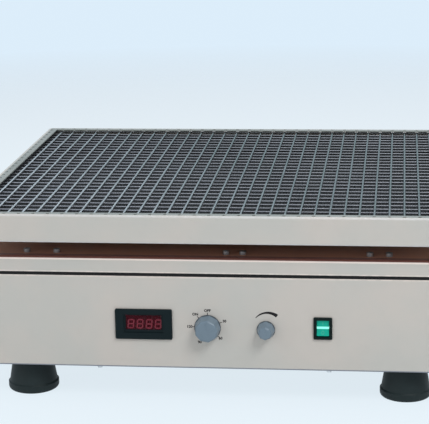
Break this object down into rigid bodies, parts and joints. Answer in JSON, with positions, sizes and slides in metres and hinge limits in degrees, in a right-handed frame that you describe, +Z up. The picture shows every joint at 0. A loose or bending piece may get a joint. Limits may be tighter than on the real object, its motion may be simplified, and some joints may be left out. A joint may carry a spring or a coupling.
{
  "type": "orbital platform shaker",
  "caption": "Bench shaker with a spring-grid tray that orbits on cranks over a sheet-metal base with meter, timer, speed knob and rocker switch, on rubber feet.",
  "frame": {"origin": "on the surface that the feet stand on, under the middle of the tray at rest", "axes": "+X to the right along the width as seen from the control panel, +Y to the back, +Z up"},
  "size_m": [0.69, 0.61, 0.271],
  "materials": {
    "grey_paint": "fine orange-peel powder coat",
    "deck_paint": "primer",
    "frame_paint": "satin",
    "motor_paint": "satin",
    "zinc_spring": "bright zinc, close-wound wire",
    "dark_spring": "oiled, close-wound wire",
    "bright_steel": "ground",
    "bearing_steel": "ground",
    "grey_iron": "as cast",
    "core_steel": "varnished laminations",
    "cast_aluminium": "machined",
    "black_rubber": "ribbed",
    "foot_rubber": "moulded",
    "black_plastic": "fine texture",
    "knob_plastic": "satin",
    "display": "dark",
    "red_filter": "smoked red filter",
    "green_lens": "translucent, lit",
    "board": "solder mask"
  },
  "bodies": {
    "base": {"base_shell": "grey_paint", "bottom_plate": "frame_paint", "bottom_screws": "bright_steel", "control_board": "board", "deck_plate": "deck_paint", "deck_screws": "bright_steel", "drive_bearings": "bearing_steel", "drive_belt": "black_rubber", "drive_housing": "cast_aluminium", "foot_bolts": "bright_steel", "foot_front_left": "foot_rubber", "foot_front_right": "foot_rubber", "foot_rear_left": "foot_rubber", "foot_rear_right": "foot_rubber", "fuse_holder": "black_plastic", "guide_bearings": "bearing_steel", "guide_housings": "cast_aluminium", "main_frame": "frame_paint", "meter_bezel": "black_plastic", "meter_body": "black_plastic", "meter_display": "display", "meter_window": "red_filter", "motor": "motor_paint", "motor_bracket": "frame_paint", "power_inlet": "black_plastic", "seam_strip": "black_rubber", "speed_potentiometer": "black_plastic", "switch_housing": "black_plastic", "timer_body": "black_plastic", "top_cover": "grey_paint", "transformer": "core_steel"},
    "platform": {"tray_shell": "grey_paint", "spring_combs": "grey_paint", "hook_rods": "bright_steel", "long_springs": "zinc_spring", "cross_springs": "dark_spring", "rubber_mat": "black_rubber", "carriage_plate": "cast_aluminium", "carriage_screws": "bright_steel", "drive_pin_housing": "cast_aluminium", "guide_pin_housings": "cast_aluminium", "drive_pin_bearing": "bearing_steel", "guide_pin_bearings": "bearing_steel"},
    "crank": {"drive_crank": "bright_steel", "drive_shaft": "bright_steel", "counterweight": "grey_iron", "driven_pulley": "cast_aluminium"},
    "motor_rotor": {"motor_shaft": "bright_steel", "motor_pulley": "cast_aluminium"},
    "timer_knob": {"timer_knob": "knob_plastic", "timer_spindle": "bright_steel"},
    "speed_knob": {"speed_knob": "knob_plastic", "speed_spindle": "bright_steel"},
    "power_rocker": {"power_rocker": "green_lens"},
    "guide_front_left": {"guide_crank_front_left": "bright_steel"},
    "guide_front_right": {"guide_crank_front_right": "bright_steel"},
    "guide_rear_left": {"guide_crank_rear_left": "bright_steel"},
    "guide_rear_right": {"guide_crank_rear_right": "bright_steel"}
  },
  "joints": [
    {"name": "orbit_drive", "type": "hinge", "parent": "base", "child": "crank", "pos_m": [0, -0.01, 0.15], "axis": [0, 0, 1], "continuous": true},
    {"name": "platform_pivot", "type": "hinge", "parent": "crank", "child": "platform", "pos_m": [0, 0, 0.22], "axis": [0, 0, 1], "continuous": true},
    {"name": "motor_spin", "type": "hinge", "parent": "base", "child": "motor_rotor", "pos_m": [0.178, -0.01, 0.1], "axis": [0, 0, 1], "continuous": true},
    {"name": "guide_front_left_turn", "type": "hinge", "parent": "base", "child": "guide_front_left", "pos_m": [-0.19, -0.16, 0.2], "axis": [0, 0, 1], "continuous": true},
    {"name": "guide_front_right_turn", "type": "hinge", "parent": "base", "child": "guide_front_right", "pos_m": [0.19, -0.16, 0.2], "axis": [0, 0, 1], "continuous": true},
    {"name": "guide_rear_left_turn", "type": "hinge", "parent": "base", "child": "guide_rear_left", "pos_m": [-0.19, 0.14, 0.2], "axis": [0, 0, 1], "continuous": true},
    {"name": "guide_rear_right_turn", "type": "hinge", "parent": "base", "child": "guide_rear_right", "pos_m": [0.19, 0.14, 0.2], "axis": [0, 0, 1], "continuous": true},
    {"name": "timer_turn", "type": "hinge", "parent": "base", "child": "timer_knob", "pos_m": [-0.006, -0.285, 0.1095], "axis": [0, 1, 0], "range_deg": [-42, 272]},
    {"name": "speed_turn", "type": "hinge", "parent": "base", "child": "speed_knob", "pos_m": [0.074, -0.285, 0.108], "axis": [0, 1, 0], "range_deg": [0, 270]},
    {"name": "rocker_tip", "type": "hinge", "parent": "base", "child": "power_rocker", "pos_m": [0.1516, -0.2826, 0.1113], "axis": [1, 0, 0], "range_deg": [0, 18]}
  ],
  "couplings": [
    {"joint": "platform_pivot", "follows": "orbit_drive", "ratio": -1},
    {"joint": "motor_spin", "follows": "orbit_drive", "ratio": 4},
    {"joint": "guide_front_left_turn", "follows": "orbit_drive", "ratio": 1},
    {"joint": "guide_front_right_turn", "follows": "orbit_drive", "ratio": 1},
    {"joint": "guide_rear_left_turn", "follows": "orbit_drive", "ratio": 1},
    {"joint": "guide_rear_right_turn", "follows": "orbit_drive", "ratio": 1}
  ]
}
